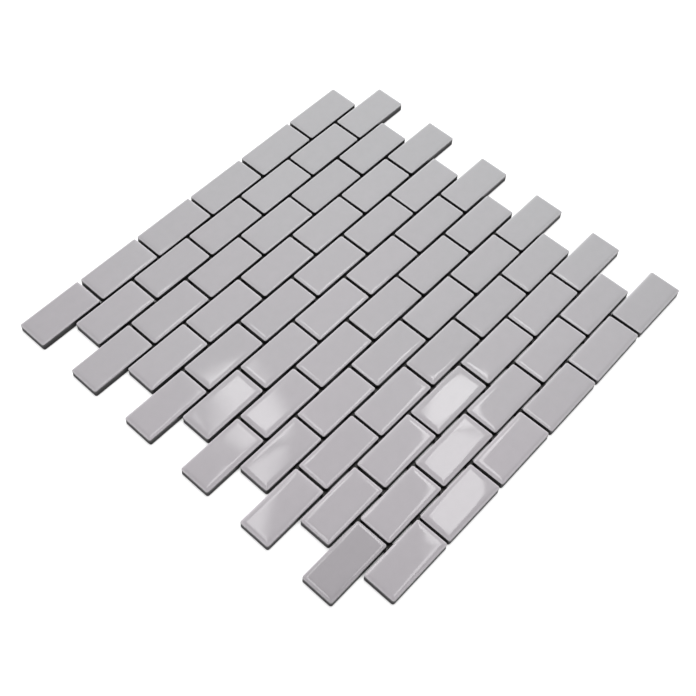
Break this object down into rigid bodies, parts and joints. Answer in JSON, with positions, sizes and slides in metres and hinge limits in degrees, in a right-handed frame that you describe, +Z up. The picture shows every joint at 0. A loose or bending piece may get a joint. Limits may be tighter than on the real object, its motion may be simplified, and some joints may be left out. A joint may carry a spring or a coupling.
{
  "type": "mosaic tile sheet",
  "caption": "Sheet of small glazed brick-shaped ceramic tiles in running bond, joined by dots in the joints, with ends that interlock with the next sheet.",
  "frame": {"origin": "middle of the underside, on the plane of the tile backs", "axes": "+X along the rows, +Y across them towards the first row, +Z up out of the glazed face"},
  "size_m": [0.323, 0.298, 0.006],
  "materials": {
    "glazed_tile": "light grey glossy glaze over a dark grey fired body",
    "joint_dot": "soft matt grey adhesive"
  },
  "bodies": {
    "root": {"tile_row_01": "glazed_tile", "tile_row_02": "glazed_tile", "tile_row_03": "glazed_tile", "tile_row_04": "glazed_tile", "tile_row_05": "glazed_tile", "tile_row_06": "glazed_tile", "tile_row_07": "glazed_tile", "tile_row_08": "glazed_tile", "tile_row_09": "glazed_tile", "tile_row_10": "glazed_tile", "tile_row_11": "glazed_tile", "tile_row_12": "glazed_tile", "joint_dots_01": "joint_dot", "joint_dots_02": "joint_dot", "joint_dots_03": "joint_dot", "joint_dots_04": "joint_dot", "joint_dots_05": "joint_dot", "joint_dots_06": "joint_dot", "joint_dots_07": "joint_dot", "joint_dots_08": "joint_dot", "joint_dots_09": "joint_dot", "joint_dots_10": "joint_dot", "joint_dots_11": "joint_dot"}
  },
  "joints": []
}
